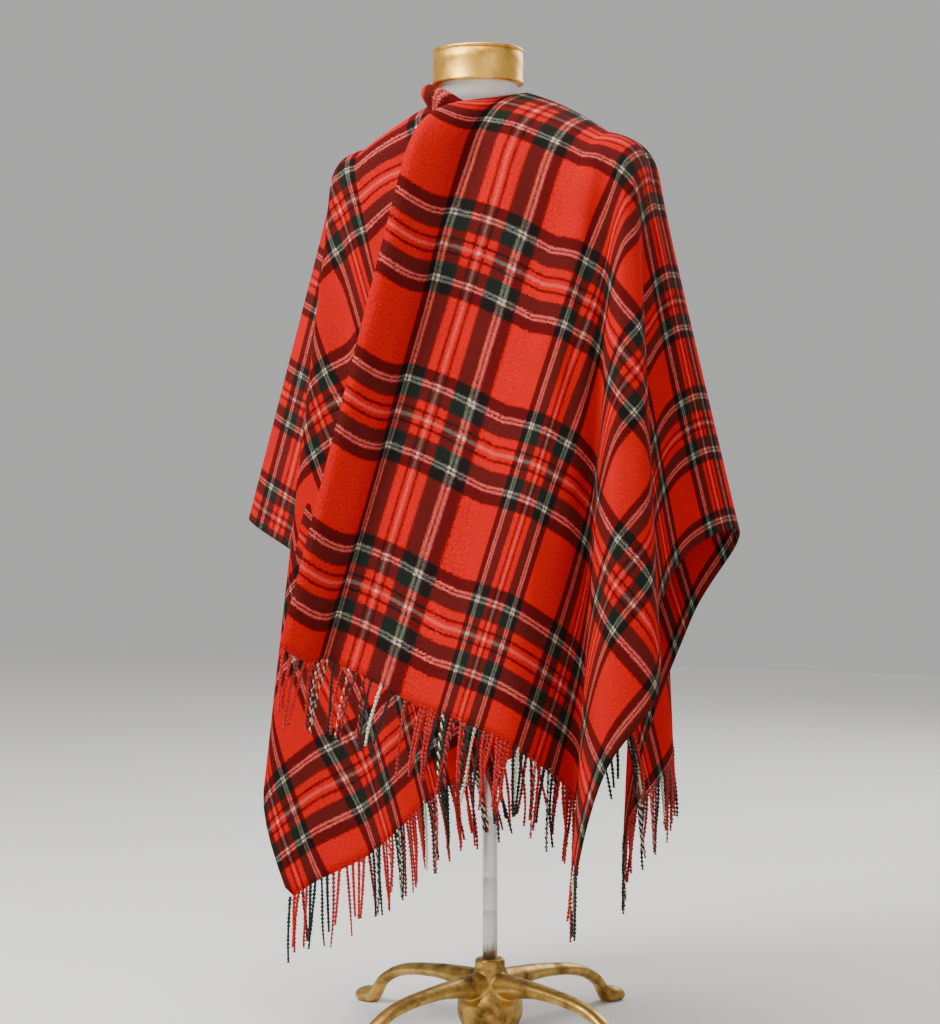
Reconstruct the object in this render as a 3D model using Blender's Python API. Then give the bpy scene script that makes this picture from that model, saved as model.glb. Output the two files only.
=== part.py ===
"""A fringed tartan serape, worn open down the front, resting on a limbless dress form on a stand.

Metres, +Z up. The wearer's front faces -Y and the wearer's left is +X.
The cloth is one rectangle. A place on it is (across, along): across is measured from the centre line,
along from the shoulder line, negative to the front and positive to the back.
"""
import math

import bmesh
import bpy
from mathutils import Vector

for old in list(bpy.data.objects):
    bpy.data.objects.remove(old, do_unlink=True)

# The cut of the cloth.
HALF_WIDTH = 0.76
FRONT_LENGTH = {"left": 0.86, "right": 0.93}
BACK_LENGTH = 0.85
NECK_HALF = 0.07
NECK_SCOOP = 0.05
CLOTH_THICK = 0.0025
SEAM_GAP = 0.0003

# Where the cloth rests on the shoulders.
SHOULDER_ACROSS = 0.175
SHOULDER = Vector((0.185, -0.010, 1.245))
NECK_SIDE = Vector((0.066, -0.020, 1.306))
NECK_FRONT = {"left": Vector((0.012, -0.106, 1.286)), "right": Vector((0.030, -0.086, 1.272))}
NECK_BACK = Vector((0.0, 0.048, 1.312))
SHOULDER_BEND_SIDE = 0.09
SHOULDER_BEND_BACK = 0.15
SHOULDER_BEND_FRONT = {"left": 0.17, "right": 0.11}
SHOULDER_SLOPE = math.radians(14)
FRONT_LIE = {"left": 0.0, "right": math.radians(24)}
FRONT_TURN_IN = 25.0
SHOULDER_CROWN = 0.006
NECK_FLARE = 0.010
# The turns over which a fold goes from lying over the front to lying over the back.
BEHIND_FROM = 1.7
BEHIND_OVER = 0.6

# The fringe.
FRINGE_GAP = 0.0008
FRINGE_STRIP = 0.006
LEAST_SLANT = 0.2
FRINGE_LENGTH = 0.085
FRINGE_PITCH = 0.022
FRINGE_ROUND = 0.1
FRINGE_UNEVEN = 0.12
FRINGE_WAVE = 2.7
STRAND_WIDTH = 0.006
STRAND_TIP_SHARE = 0.6

# Cells of the cloth's wall: steps of turn over the chest and round the shoulders, and shares down each fold.
CHEST_STEP = 0.10
TURN_STEP = 0.030
TURN_NEAR = 0.004
SHARE_NEAR = 0.01
BEHIND_START = 1e-6
BEND_STEPS = 14
DOWN_SHARES = (0.0, 0.045, 0.10, 0.17, 0.27, 0.40, 0.55, 0.70, 0.85, 1.0)

# The drape, one row for each fold that runs down from a shoulder.
# turn: 0 slit edge, 1 front of the shoulder, 2 side, 3 back of the shoulder, 4 centre back.
# drift_x and drift_y: how far the fold moves outwards and backwards for each metre of its length.
DRAPE = {
    "left": (
        # fold, turn, drift_x, drift_y
        ("slit edge", 0.00, -0.185, -0.170),
        ("chest", 0.60, -0.225, -0.195),
        ("front of shoulder", 1.00, -0.200, -0.215),
        ("front panel edge", 1.14, -0.075, -0.225),
        ("dark pleat", 1.26, -0.015, -0.120),
        ("front corner", 1.37, 0.005, -0.185),
        ("lobe tip", 1.44, 0.060, -0.250),
        ("lobe side", 1.51, 0.125, -0.205),
        ("lobe return", 1.63, 0.080, -0.105),
        ("side front", 1.79, 0.120, -0.055),
        ("side", 2.00, 0.235, 0.000),
        ("side back", 2.18, 0.185, 0.100),
        ("under side", 2.38, 0.060, 0.040),
        ("back corner", 2.62, -0.050, 0.005),
        ("back fold", 2.76, 0.010, 0.088),
        ("back pleat", 2.87, -0.034, 0.146),
        ("back of shoulder", 3.00, -0.028, 0.106),
        ("shoulder blade", 3.45, -0.020, 0.140),
        ("centre back", 4.00, 0.000, 0.110),
    ),
    "right": (
        ("slit edge", 0.00, -0.330, 0.000),
        ("chest", 0.60, -0.330, -0.040),
        ("front of shoulder", 1.00, -0.290, -0.070),
        ("wrapped fold", 1.15, -0.210, -0.100),
        ("front fold", 1.28, -0.085, -0.055),
        ("front corner", 1.34, 0.014, -0.060),
        ("selvedge turn", 1.43, 0.085, -0.070),
        ("lobe return", 1.60, -0.050, -0.030),
        ("side front", 1.79, 0.030, -0.125),
        ("side", 2.00, 0.285, 0.000),
        ("side back", 2.14, 0.240, 0.115),
        ("side pleat", 2.26, 0.140, 0.020),
        ("under side", 2.38, 0.150, 0.140),
        ("under pleat", 2.50, 0.050, 0.040),
        ("back corner", 2.62, 0.085, 0.150),
        ("back groove", 2.72, -0.010, 0.080),
        ("back fold", 2.81, 0.030, 0.175),
        ("back pleat", 2.90, -0.036, 0.150),
        ("back of shoulder", 3.00, -0.026, 0.110),
        ("shoulder blade", 3.50, -0.010, 0.150),
        ("centre back", 4.00, 0.000, 0.110),
    ),
}

# The dress form, one row for each height: half width, half depth and how far its middle sits behind the pole.
FORM = (
    # height, half_width, half_depth, middle_y
    (0.640, 0.128, 0.088, 0.000),
    (0.680, 0.140, 0.098, 0.000),
    (0.760, 0.143, 0.102, 0.002),
    (0.860, 0.118, 0.084, -0.004),
    (0.930, 0.108, 0.078, -0.008),
    (1.020, 0.122, 0.092, -0.014),
    (1.100, 0.138, 0.098, -0.016),
    (1.165, 0.152, 0.084, -0.014),
    (1.205, 0.160, 0.062, -0.014),
    (1.232, 0.166, 0.038, -0.013),
    (1.2550, 0.158, 0.009, -0.012),
    (1.2710, 0.138, 0.010, -0.0145),
    (1.2730, 0.108, 0.014, -0.016),
    (1.2770, 0.060, 0.035, -0.031),
    (1.2920, 0.056, 0.047, -0.034),
    (1.3180, 0.056, 0.051, -0.040),
)
FORM_SIDES = 32
FORM_KEPT_TOP = 1.235
FORM_FADE = 0.05
FORM_SOFT = 0.07
LAYER_GAP = {"back": 0.018, "right": 0.016, "left": 0.036}

# The neck cap, pole and base.
CAP_CENTRE_Y = -0.040
CAP_BOTTOM = 1.3183
CAP_HEIGHT = 0.048
CAP_RADIUS = 0.0640
CAP_DEPTH_SHARE = 0.94
CAP_EDGE = 0.003
POLE_RADIUS = 0.0105
POLE_TOP = 0.6397
HUB_TOP = 0.100
HUB_TOP_RADIUS = 0.019
HUB_FOOT_RADIUS = 0.046
LEG_REACH = 0.262
LEG_ANGLES = (-20.0, 70.0, 160.0, 250.0)
STAND_SIDES = 20
LEG_SIDES = 10
SHARP_ANGLE = math.radians(40)


def smooth(share):
    share = min(1.0, max(0.0, share))
    return share * share * (3.0 - 2.0 * share)


def through_rows(rows, key, value):
    """A smooth value between a table's rows: key and value are column numbers."""
    def at(place):
        place = min(max(place, rows[0][key]), rows[-1][key])
        last = len(rows) - 2
        i = min(last, max(0, sum(1 for row in rows[1:] if row[key] < place)))
        before, low, high, after = rows[max(0, i - 1)], rows[i], rows[i + 1], rows[min(last + 1, i + 2)]
        span = high[key] - low[key]
        share = (place - low[key]) / span
        slope_low = (high[value] - before[value]) / (high[key] - before[key]) * span
        slope_high = (after[value] - low[value]) / (after[key] - low[key]) * span
        s2, s3 = share * share, share ** 3
        return ((2 * s3 - 3 * s2 + 1) * low[value] + (s3 - 2 * s2 + share) * slope_low
                + (3 * s2 - 2 * s3) * high[value] + (s3 - s2) * slope_high)
    return at


DRIFT = {side: (through_rows(rows, 1, 2), through_rows(rows, 1, 3)) for side, rows in DRAPE.items()}
FORM_WIDTH = through_rows(FORM, 0, 1)
FORM_DEPTH = through_rows(FORM, 0, 2)
FORM_MIDDLE = through_rows(FORM, 0, 3)


def neck_start(across):
    """How far down the front its neck edge lies at this place across."""
    return NECK_SCOOP * max(0.0, 1.0 - across / NECK_HALF) ** 2


def start_of(side, across, behind):
    """The point on the shoulder line, or round the neck, from which the cloth hangs."""
    if across >= NECK_HALF:
        share = (across - NECK_HALF) / (SHOULDER_ACROSS - NECK_HALF)
        point = NECK_SIDE.lerp(SHOULDER, share)
        point.z += SHOULDER_CROWN * math.sin(math.pi * share)
        return point
    centre = NECK_BACK if behind else NECK_FRONT[side]
    share = across / NECK_HALF
    point = centre.lerp(NECK_SIDE, share)
    point.x += NECK_FLARE * math.sin(math.pi * share)
    return point


def place_on_fold(side, turn, share):
    """The place of the cloth that lies this share of the way down the fold at this turn."""
    behind = turn > 2.0
    length = BACK_LENGTH if behind else FRONT_LENGTH[side]
    fold = 4.0 - turn if behind else turn
    if fold <= 1.0:
        across = fold * SHOULDER_ACROSS
        top = 0.0 if behind else neck_start(across)
        return across, top + (length - top) * share
    heading = math.radians(90.0) * (2.0 - fold)
    beyond = HALF_WIDTH - SHOULDER_ACROSS
    run = min(beyond / max(1e-9, math.cos(heading)), length / max(1e-9, math.sin(heading)))
    return SHOULDER_ACROSS + share * run * math.cos(heading), share * run * math.sin(heading)


def cloth_point(side, turn, share):
    """Where the cloth hangs, this share of the way down the fold at this turn.

    Both halves are worked out on +X, and the right one is then mirrored.
    """
    behind = turn > 2.0
    fold = 4.0 - turn if behind else turn
    across, along = place_on_fold(side, turn, share)
    toward = 1.0 if behind else -1.0
    if fold <= 1.0:
        start = start_of(side, across, behind)
        run = along - (0.0 if behind else neck_start(across))
        heading = math.radians(90.0 if behind else -90.0 - FRONT_TURN_IN * (1.0 - fold))
    else:
        start = SHOULDER.copy()
        run = math.hypot(across - SHOULDER_ACROSS, along)
        heading = toward * math.radians(90.0) * (2.0 - fold)
    drift_x, drift_y = (curve(turn) for curve in DRIFT[side])
    slope = SHOULDER_SLOPE + (0.0 if behind else FRONT_LIE[side] * smooth(1.0 - fold))
    out = Vector((math.cos(heading) * math.cos(slope), math.sin(heading) * math.cos(slope), -math.sin(slope)))
    down = Vector((drift_x, drift_y, -math.sqrt(1.0 - drift_x ** 2 - drift_y ** 2)))
    bend_end = SHOULDER_BEND_BACK if behind else SHOULDER_BEND_FRONT[side]
    bend = SHOULDER_BEND_SIDE + (bend_end - SHOULDER_BEND_SIDE) * abs(math.sin(heading))
    point = start
    step = min(run, bend) / BEND_STEPS
    for i in range(BEND_STEPS):
        turned_down = smooth((i + 0.5) * step / bend)
        point += out.lerp(down, turned_down).normalized() * step
    point += down * max(0.0, run - bend)
    lies_behind = smooth((turn - BEHIND_FROM) / BEHIND_OVER)
    point = clear_of_form(point, LAYER_GAP[side] + (LAYER_GAP["back"] - LAYER_GAP[side]) * lies_behind)
    if side == "right":
        point.x = -point.x
    return point


def clear_of_form(point, gap):
    """The point, moved straight out of the dress form and its gap where it would lie inside."""
    height = min(point.z, FORM_KEPT_TOP)
    below = FORM[0][0] - FORM_FADE
    fade = smooth((point.z - below) / FORM_FADE) * smooth((FORM_KEPT_TOP - point.z) / FORM_FADE)
    if fade <= 0.0:
        return point
    height = max(height, FORM[0][0])
    middle = FORM_MIDDLE(height)
    wide, deep = FORM_WIDTH(height) + gap, FORM_DEPTH(height) + gap
    reach = math.hypot(point.x / wide, (point.y - middle) / deep)
    pushed = 1.0 + FORM_SOFT * math.log1p(math.exp(min(40.0, (reach - 1.0) / FORM_SOFT)))
    scale = 1.0 + fade * (pushed / max(reach, 0.05) - 1.0)
    return Vector((point.x * scale, middle + (point.y - middle) * scale, point.z))


def spaced(low, high, cells):
    return [low + (high - low) * i / cells for i in range(cells + 1)]


def corner_turn(side, behind):
    """The turn of the fold that ends in the cloth's corner."""
    length = BACK_LENGTH if behind else FRONT_LENGTH[side]
    lean = math.atan2(length, HALF_WIDTH - SHOULDER_ACROSS) / math.radians(90.0)
    return 2.0 + lean if behind else 2.0 - lean


def fold_turns(side, behind):
    """The turns of one quarter of the cloth, through its corner and the front or back of its shoulder."""
    corner = corner_turn(side, behind)
    stops = (2.0 + BEHIND_START, corner, 3.0, 4.0) if behind else (0.0, 1.0, corner, 2.0)
    turns = [stops[0]]
    for low, high in zip(stops, stops[1:]):
        step = CHEST_STEP if high - low == 1.0 else TURN_STEP
        turns += spaced(low, high, max(1, round((high - low) / step)))[1:]
    return turns


def wall_points(side, turn, share):
    """The outer and inner point of the wall at a place of the cloth."""
    here = max(share, 2 * SHARE_NEAR)
    before, after = max(turn - TURN_NEAR, 0.0), min(turn + TURN_NEAR, 4.0)
    across = cloth_point(side, after, here) - cloth_point(side, before, here)
    down = cloth_point(side, turn, here + SHARE_NEAR) - cloth_point(side, turn, here - SHARE_NEAR)
    normal = across.cross(down)
    if side == "left":
        normal.negate()
    if share == 0.0:
        normal.y = 0.0
    normal.normalize()
    outer = cloth_point(side, turn, share)
    outer.y += SEAM_GAP / 2 if turn > 2.0 else -SEAM_GAP / 2
    return outer, outer - normal * CLOTH_THICK


def at_shoulder_point(turn, share):
    fold = 4.0 - turn if turn > 2.0 else turn
    return share == 0.0 and fold >= 1.0


def make_wall(name, folds, material):
    """A closed wall over folds given as (side, turn). The folds of a shoulder share its point."""
    points, outer, tips = [], [], {}
    for side, turn in folds:
        row = []
        for share in DOWN_SHARES:
            tip = at_shoulder_point(turn, share)
            if tip and side in tips:
                row.append(tips[side])
                continue
            if tip:
                turn_here = 3.0 if turn > 2.0 else 1.0
                points.append(wall_points(side, turn_here, share))
                tips[side] = len(points) - 1
            else:
                points.append(wall_points(side, turn, share))
            row.append(len(points) - 1)
        outer.append(row)
    count = len(points)
    faces = []
    for left, right in zip(outer, outer[1:]):
        for k in range(len(DOWN_SHARES) - 1):
            cell = []
            for corner in (left[k], left[k + 1], right[k + 1], right[k]):
                if corner not in cell:
                    cell.append(corner)
            faces.append(tuple(cell))
            faces.append(tuple(count + corner for corner in reversed(cell)))
    rim = outer[0] + [row[-1] for row in outer[1:]] + outer[-1][-2::-1] + [row[0] for row in outer[-2:0:-1]]
    rim = [corner for i, corner in enumerate(rim) if corner != rim[i - 1]]
    for i, a in enumerate(rim):
        b = rim[(i + 1) % len(rim)]
        faces.append((b, a, count + a, count + b))
    return solid(name, [p[0] for p in points] + [p[1] for p in points], faces, material)


def solid(name, points, faces, material):
    """One closed body with its faces turned outwards."""
    mesh = bpy.data.meshes.new(name)
    mesh.from_pydata([tuple(p) for p in points], [], faces)
    shape = bmesh.new()
    shape.from_mesh(mesh)
    bmesh.ops.recalc_face_normals(shape, faces=shape.faces)
    shape.to_mesh(mesh)
    shape.free()
    mesh.shade_smooth()
    mesh.set_sharp_from_angle(angle=SHARP_ANGLE)
    mesh.materials.append(material)
    obj = bpy.data.objects.new(name, mesh)
    bpy.context.scene.collection.objects.link(obj)
    return obj


def finish(name, colour, roughness, metallic=0.0):
    material = bpy.data.materials.new(name)
    material.use_nodes = True
    shader = material.node_tree.nodes["Principled BSDF"]
    shader.inputs["Base Color"].default_value = (*colour, 1.0)
    shader.inputs["Roughness"].default_value = roughness
    shader.inputs["Metallic"].default_value = metallic
    return material


def make_cloth(material):
    for side in ("left", "right"):
        make_wall(side + "_front", [(side, turn) for turn in fold_turns(side, False)], material)
    make_wall("back", back_folds(), material)


def back_folds():
    left = [("left", turn) for turn in fold_turns("left", True)]
    right = [("right", turn) for turn in fold_turns("right", True)]
    return left + right[-2::-1]


def fringed_folds(side, behind):
    """The folds that end at the fringe, not at the selvedge."""
    corner = corner_turn(side, behind)
    turns = fold_turns(side, behind)
    if behind:
        return [(side, turn) for turn in turns if turn >= corner - TURN_NEAR]
    return [(side, turn) for turn in turns if turn <= corner + TURN_NEAR]


def make_fringe(name, folds, material):
    """A strip along the cut end, with its strands, as one closed solid."""
    edge = [wall_points(side, turn, 1.0) for side, turn in folds]
    hem = []
    for i, (side, turn) in enumerate(folds):
        outer, inner = edge[i]
        down = (outer - wall_points(side, turn, DOWN_SHARES[-2])[0]).normalized()
        beside = [edge[k][0] for k in (i - 1, i + 1) if 0 <= k < len(edge)]
        slant = min(down.cross((other - outer).normalized()).length for other in beside)
        parted = down * (FRINGE_GAP / max(slant, LEAST_SLANT))
        across = place_on_fold(side, turn, 1.0)[0]
        hem.append((across, outer + parted, inner + parted, down))
    points, roots = [], {}

    def add_edge(low, high, share):
        outer, inner, down = (low[k].lerp(high[k], share) for k in (1, 2, 3))
        points.extend((outer, inner, outer + down * FRINGE_STRIP, inner + down * FRINGE_STRIP))

    add_edge(hem[0], hem[1], 0.0)
    for low, high in zip(hem, hem[1:]):
        length = abs(high[0] - low[0])
        hang = (low[3] + high[3]).normalized()
        strands = round(length / FRINGE_PITCH + FRINGE_ROUND)
        for i in range(strands):
            for offset in (-0.5, 0.5):
                share = (i + 0.5) / strands + offset * STRAND_WIDTH / length
                add_edge(low, high, share)
            roots[len(points) // 4 - 2] = hang
        add_edge(low, high, 1.0)
    faces = []
    for i in range(len(points) // 4 - 1):
        a, b = 4 * i, 4 * (i + 1)
        faces += [(a, b, b + 2, a + 2), (a + 3, b + 3, b + 1, a + 1), (b, a, a + 1, b + 1)]
        if i in roots:
            add_strand(points, faces, (a + 2, b + 2, b + 3, a + 3), roots[i], i)
        else:
            faces.append((a + 2, b + 2, b + 3, a + 3))
        last = b
    faces += [(0, 2, 3, 1), (last + 2, last, last + 1, last + 3)]
    return solid(name, points, faces, material)


def add_strand(points, faces, root, hang, number):
    """A strand of four sides that hangs from one cell of the strip, in line with its fold."""
    middle = sum((points[k] for k in root), Vector()) / 4
    length = FRINGE_LENGTH * (1.0 + FRINGE_UNEVEN * math.sin(FRINGE_WAVE * number))
    low_middle = middle + hang * length
    first = len(points)
    points.extend([low_middle + (points[k] - middle) * STRAND_TIP_SHARE for k in root])
    for k in range(4):
        after = (k + 1) % 4
        faces.append((root[k], root[after], first + after, first + k))
    faces.append(tuple(range(first, first + 4)))


def turned(name, rings, material, sides):
    """A closed body through rings of (height, half_width, half_depth, middle_y)."""
    points, faces = [], []
    for height, wide, deep, middle in rings:
        for k in range(sides):
            a = 2 * math.pi * k / sides
            points.append(Vector((wide * math.cos(a), middle + deep * math.sin(a), height)))
    for r in range(len(rings) - 1):
        for k in range(sides):
            a, b = r * sides + k, r * sides + (k + 1) % sides
            faces.append((a, b, b + sides, a + sides))
    faces.append(tuple(reversed(range(sides))))
    last = (len(rings) - 1) * sides
    faces.append(tuple(range(last, last + sides)))
    return solid(name, points, faces, material)


def make_form(cover, brass):
    turned("dress_form", FORM, cover, FORM_SIDES)
    depth, top = CAP_RADIUS * CAP_DEPTH_SHARE, CAP_BOTTOM + CAP_HEIGHT
    rings = (
        (CAP_BOTTOM, CAP_RADIUS, depth, CAP_CENTRE_Y),
        (top - CAP_EDGE, CAP_RADIUS, depth, CAP_CENTRE_Y),
        (top, CAP_RADIUS - CAP_EDGE, depth - CAP_EDGE, CAP_CENTRE_Y),
    )
    turned("neck_cap", rings, brass, FORM_SIDES)


def make_stand(steel, iron):
    pole_rings = [(z, POLE_RADIUS, POLE_RADIUS, 0.0) for z in (HUB_TOP + SEAM_GAP, POLE_TOP)]
    turned("pole", pole_rings, steel, STAND_SIDES)
    hub_rings = (
        # height, radius
        (0.0, HUB_FOOT_RADIUS * 0.8),
        (0.022, HUB_FOOT_RADIUS),
        (0.040, HUB_FOOT_RADIUS),
        (0.067, HUB_TOP_RADIUS * 1.5),
        (HUB_TOP - 0.012, HUB_TOP_RADIUS * 1.12),
        (HUB_TOP - 0.003, HUB_TOP_RADIUS * 1.12),
        (HUB_TOP, HUB_TOP_RADIUS),
    )
    hub = turned("base", [(z, r, r, 0.0) for z, r in hub_rings], iron, STAND_SIDES)
    legs = [make_leg(angle, iron) for angle in LEG_ANGLES]
    for leg in legs:
        join = hub.modifiers.new("leg", "BOOLEAN")
        join.operation = "UNION"
        join.object = leg
        leg.hide_render = True
        leg.display_type = "WIRE"


def make_leg(angle, material):
    """A cast leg: it leaves the hub, arches out and comes down to a flat round foot."""
    rows = (
        # reach, height of the middle, half_width, half_height
        (0.020, 0.062, 0.020, 0.020),
        (0.060, 0.066, 0.017, 0.014),
        (0.110, 0.066, 0.014, 0.010),
        (0.180, 0.056, 0.012, 0.009),
        (0.220, 0.036, 0.012, 0.010),
        (LEG_REACH - 0.022, 0.012, 0.014, 0.014),
        (LEG_REACH, 0.008, 0.016, 0.012),
        (LEG_REACH + 0.010, 0.007, 0.012, 0.009),
    )
    points, faces = [], []
    for reach, height, wide, tall in rows:
        for k in range(LEG_SIDES):
            a = 2 * math.pi * k / LEG_SIDES
            points.append(Vector((reach, wide * math.cos(a), max(0.0, height + tall * math.sin(a)))))
    for r in range(len(rows) - 1):
        for k in range(LEG_SIDES):
            a, b = r * LEG_SIDES + k, r * LEG_SIDES + (k + 1) % LEG_SIDES
            faces.append((a, b, b + LEG_SIDES, a + LEG_SIDES))
    faces.append(tuple(reversed(range(LEG_SIDES))))
    last = (len(rows) - 1) * LEG_SIDES
    faces.append(tuple(range(last, last + LEG_SIDES)))
    leg = solid("leg_cutter", points, faces, material)
    leg.rotation_euler.z = math.radians(angle)
    return leg


def main():
    wool = finish("wool_tartan", (0.60, 0.02, 0.02), 0.9)
    yarn = finish("fringe_yarn", (0.50, 0.02, 0.02), 0.9)
    cover = finish("form_cover", (0.85, 0.84, 0.80), 0.8)
    brass = finish("neck_cap_brass", (0.72, 0.52, 0.20), 0.35, 1.0)
    steel = finish("pole_steel", (0.70, 0.70, 0.68), 0.25, 1.0)
    iron = finish("base_gilt_iron", (0.50, 0.36, 0.16), 0.4, 1.0)
    make_cloth(wool)
    make_fringe("fringe_left", fringed_folds("left", False), yarn)
    make_fringe("fringe_right", fringed_folds("right", False), yarn)
    right_back = fringed_folds("right", True)
    make_fringe("fringe_back", fringed_folds("left", True) + right_back[-2::-1], yarn)
    make_form(cover, brass)
    make_stand(steel, iron)


main()
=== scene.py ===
# %% [markdown]
# # A fringed tartan serape on a dress form
# A serape is one blanket of brushed wool. This one has a fringe at both short ends and a slit from the
# front end up to the neck. It is worn open, with the left front lapped over the right.
# The solids of the part are loaded first, because every piece made here has to sit where they are.

# %% Load the solids and keep their box
import math
import random

import bmesh
import bpy
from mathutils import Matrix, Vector


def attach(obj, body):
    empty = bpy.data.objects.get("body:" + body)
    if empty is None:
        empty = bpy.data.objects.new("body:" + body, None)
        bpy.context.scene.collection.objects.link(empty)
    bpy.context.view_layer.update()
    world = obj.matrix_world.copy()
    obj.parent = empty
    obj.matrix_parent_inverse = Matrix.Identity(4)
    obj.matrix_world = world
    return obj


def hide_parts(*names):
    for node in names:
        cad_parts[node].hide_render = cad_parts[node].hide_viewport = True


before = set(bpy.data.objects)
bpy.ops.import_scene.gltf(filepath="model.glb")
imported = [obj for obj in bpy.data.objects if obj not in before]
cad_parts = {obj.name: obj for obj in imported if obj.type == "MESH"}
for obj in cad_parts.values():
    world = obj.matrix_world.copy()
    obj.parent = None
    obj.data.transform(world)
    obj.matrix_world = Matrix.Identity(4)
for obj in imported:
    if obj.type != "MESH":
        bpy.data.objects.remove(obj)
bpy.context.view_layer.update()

# %% [markdown]
# ## Camera
# The photo was taken from a little to the wearer's left, at about the height of the hips, looking level.
# The round neck cap gave the scale: about 1.4 mm for each pixel at the pole.

# %% Make the camera
VIEW_AZIMUTH = math.radians(25)
VIEW_DISTANCE = 3.2
VIEW_HEIGHT = 0.77
LENS = 80.2
PHOTO_SIZE = (940, 1024)
POLE_PIXEL = (490, 480)

camera = bpy.data.objects.new("camera", bpy.data.cameras.new("camera"))
bpy.context.scene.collection.objects.link(camera)
camera.data.sensor_width = 36
camera.data.lens = LENS
camera.data.shift_x = (PHOTO_SIZE[0] / 2 - POLE_PIXEL[0]) / PHOTO_SIZE[1]
camera.data.shift_y = (POLE_PIXEL[1] - PHOTO_SIZE[1] / 2) / PHOTO_SIZE[1]
camera.location = (
    math.sin(VIEW_AZIMUTH) * VIEW_DISTANCE,
    -math.cos(VIEW_AZIMUTH) * VIEW_DISTANCE,
    VIEW_HEIGHT,
)
camera.rotation_euler = (math.radians(90), 0, VIEW_AZIMUTH)
bpy.context.scene.camera = camera
print("camera at", [round(v, 3) for v in camera.location])

# %% [markdown]
# ## Small helpers
# A mesh is made from lists of points and faces. One function adds a shader node with its settings and links,
# and one turns a colour as read from a screen into the linear colour that a shader needs.

# %% Helpers for meshes and materials


def smooth(share):
    """0 to 1 with a soft start and end."""
    share = min(1.0, max(0.0, share))
    return share * share * (3.0 - 2.0 * share)


def make_object(name, points, faces, material):
    """One smooth-shaded piece that rides on the part and takes the material it is given."""
    mesh = bpy.data.meshes.new(name)
    mesh.from_pydata([tuple(p) for p in points], [], faces)
    mesh.shade_smooth()
    mesh.materials.append(material)
    piece = bpy.data.objects.new(name, mesh)
    bpy.context.scene.collection.objects.link(piece)
    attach(piece, "root")
    return piece


def lay_on_cut(piece, cut):
    """Gives each point its place on the flat cut, where its stripe is looked up."""
    layer = piece.data.uv_layers.new(name="cut")
    for loop in piece.data.loops:
        layer.data[loop.index].uv = cut[loop.vertex_index]


def linear(hex_colour):
    """An sRGB hex colour as the linear values that a shader takes."""
    parts = [int(hex_colour[i:i + 2], 16) / 255 for i in (1, 3, 5)]
    return (*[c / 12.92 if c <= 0.04045 else ((c + 0.055) / 1.055) ** 2.4 for c in parts], 1.0)


def add(tree, kind, settings, inputs):
    """A shader node. Each input, named or numbered, takes a value or another node's output."""
    node = tree.nodes.new("ShaderNode" + kind)
    for key, value in settings.items():
        setattr(node, key, value)
    for key, value in inputs.items():
        if isinstance(value, bpy.types.NodeSocket):
            tree.links.new(value, node.inputs[key])
        else:
            node.inputs[key].default_value = value
    return node


def new_material(name, roughness, metallic=0.0):
    """A material whose shader starts from the roughness and metallic of the real one."""
    material = bpy.data.materials.new(name)
    material.use_nodes = True
    shader = material.node_tree.nodes["Principled BSDF"]
    shader.inputs["Roughness"].default_value = roughness
    shader.inputs["Metallic"].default_value = metallic
    return material, material.node_tree, shader


print("white in linear:", linear("#ffffff")[:3])

# %% [markdown]
# ## The tartan
# A tartan is woven with the same stripes both ways. Where a coloured warp crosses the same weft the colour is
# full, and where it crosses another the eye sees a half tone. So the pattern isn't painted: two rows of
# stripes are charted by width, one for each direction, and a twill mixes them thread by thread.
# This repeat is a traditional one in scarlet, black-green and white. Along the cloth it is stretched, because
# the weft is more open than the warp. Each row reads outwards from the middle of the plain red.

# %% Chart the stripes
SCARLET = "#cc0c0d"
BLACK_GREEN = "#16211b"
BLACK = "#170c0b"
CREAM = "#efe3cf"
YELLOW = "#e6dcae"
PINK = "#eda79a"

STRIPES_ACROSS = (
    # width in mm, colour
    (33.0, SCARLET),
    (11.0, BLACK),
    (2.2, CREAM),
    (2.4, BLACK),
    (2.2, YELLOW),
    (1.5, BLACK),
    (14.4, BLACK_GREEN),
    (10.0, SCARLET),
    (2.4, BLACK),
    (3.4, SCARLET),
    (1.6, PINK),
)
STRIPES_ALONG = (
    (50.3, SCARLET),
    (16.0, BLACK),
    (2.6, CREAM),
    (3.0, BLACK),
    (2.6, CREAM),
    (2.0, BLACK),
    (17.8, BLACK_GREEN),
    (11.5, SCARLET),
    (3.2, BLACK),
    (6.0, SCARLET),
    (2.5, PINK),
)
HALF_REPEAT_ACROSS = sum(width for width, _ in STRIPES_ACROSS) / 1000
HALF_REPEAT_ALONG = sum(width for width, _ in STRIPES_ALONG) / 1000
# The slit is cut through a plain red, whose middle lies this far across. A group starts from the front end.
RED_ACROSS = 0.025
GROUP_FROM_END = 0.109
print("repeat:", HALF_REPEAT_ACROSS * 2, "m across,", HALF_REPEAT_ALONG * 2, "m along")


def stripe_ramp(tree, place, stripes, half_repeat, red_middle):
    """The colour of the stripes at a place measured in metres."""
    moved = add(tree, "Math", {"operation": "SUBTRACT"}, {0: place, 1: red_middle})
    folded = add(tree, "Math", {"operation": "PINGPONG"}, {0: moved.outputs[0], 1: half_repeat})
    share = add(tree, "Math", {"operation": "DIVIDE"}, {0: folded.outputs[0], 1: half_repeat})
    ramp = add(tree, "ValToRGB", {}, {"Fac": share.outputs[0]})
    ramp.color_ramp.interpolation = "CONSTANT"
    elements = ramp.color_ramp.elements
    elements.remove(elements[1])
    edge = 0.0
    for i, (width, colour) in enumerate(stripes):
        element = elements[0] if i == 0 else elements.new(edge)
        element.position = edge
        element.color = linear(colour)
        edge += width / 1000 / half_repeat
    return ramp.outputs["Color"]


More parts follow.
